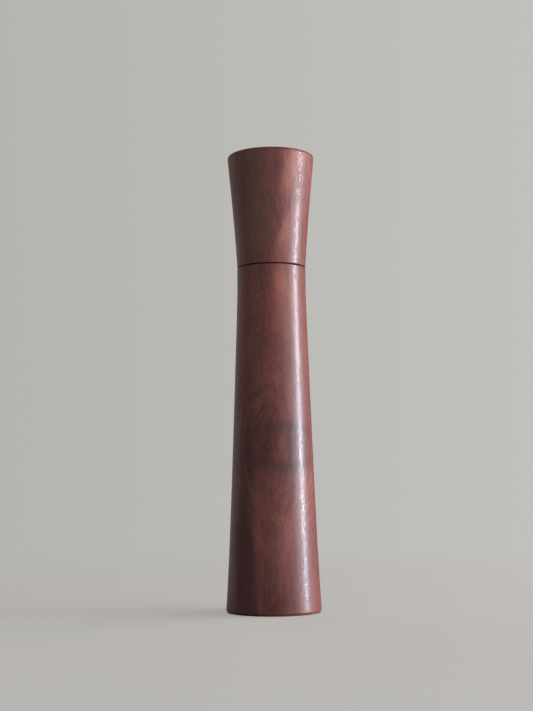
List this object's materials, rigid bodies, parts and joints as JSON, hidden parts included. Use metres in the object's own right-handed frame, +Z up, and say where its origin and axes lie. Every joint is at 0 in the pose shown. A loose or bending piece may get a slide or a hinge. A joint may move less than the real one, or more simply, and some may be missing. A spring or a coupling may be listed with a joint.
{
  "type": "pepper mill",
  "caption": "Tall turned wooden pepper mill with a slim neck and a flared flat-topped crown that turns and lifts off, over a ceramic grinding mechanism set by a knob under the foot.",
  "frame": {"origin": "centre of the foot, in the plane of the surface that the mill stands on", "axes": "+Z up along the turning axis, from the foot to the crown's flat top; +X to the right and +Y away from the viewer of the reference view"},
  "size_m": [0.0628, 0.0628, 0.305],
  "materials": {
    "turned_wood": "dark red-brown figured hardwood, oiled and polished to a satin gloss",
    "black_plastic": "moulded black plastic, fine satin",
    "grey_plastic": "moulded dark grey glass-filled plastic",
    "ceramic": "sintered white ceramic, matt with fine grain",
    "shaft_aluminium": "drawn aluminium with fine lengthwise lines",
    "spring_steel": "spring steel, bright drawn",
    "plated_steel": "zinc-plated steel",
    "bush_bronze": "sintered bronze, dull"
  },
  "bodies": {
    "body": {"body": "turned_wood", "housing": "black_plastic", "housing_screws": "plated_steel", "feed_bridge": "grey_plastic", "bridge_bush": "bush_bronze", "ring_burr": "ceramic", "burr_retainer": "spring_steel"},
    "spindle": {"burr_hub": "grey_plastic", "drive_shaft": "shaft_aluminium", "thrust_washer": "plated_steel", "hub_circlip": "spring_steel", "spring_washer": "plated_steel", "stop_washer": "plated_steel", "stop_screw": "plated_steel"},
    "crown": {"crown": "turned_wood", "drive_insert": "black_plastic", "grip_spring": "spring_steel"},
    "cone": {"cone_burr": "ceramic", "cone_core": "grey_plastic", "click_washer": "spring_steel", "burr_spring": "spring_steel"},
    "knob": {"adjusting_knob": "black_plastic", "knob_cap": "grey_plastic"}
  },
  "joints": [
    {"name": "crown_turn", "type": "hinge", "parent": "body", "child": "spindle", "pos_m": [0, 0, 0.2287], "axis": [0, 0, 1], "continuous": true},
    {"name": "crown_lift", "type": "slide", "parent": "spindle", "child": "crown", "axis": [0, 0, 1], "range_m": [0, 0.05]},
    {"name": "burr_gap", "type": "slide", "parent": "spindle", "child": "cone", "axis": [0, 0, 1], "range_m": [-0.0009, 0.0014], "deforming": ["burr_spring"]},
    {"name": "grind_adjust", "type": "hinge", "parent": "cone", "child": "knob", "pos_m": [0, 0, 0.0074], "axis": [0, 0, 1], "range_deg": [-323, 503]}
  ],
  "couplings": [
    {"joint": "burr_gap", "follows": "grind_adjust", "m_per_rad": 0.00015915}
  ]
}
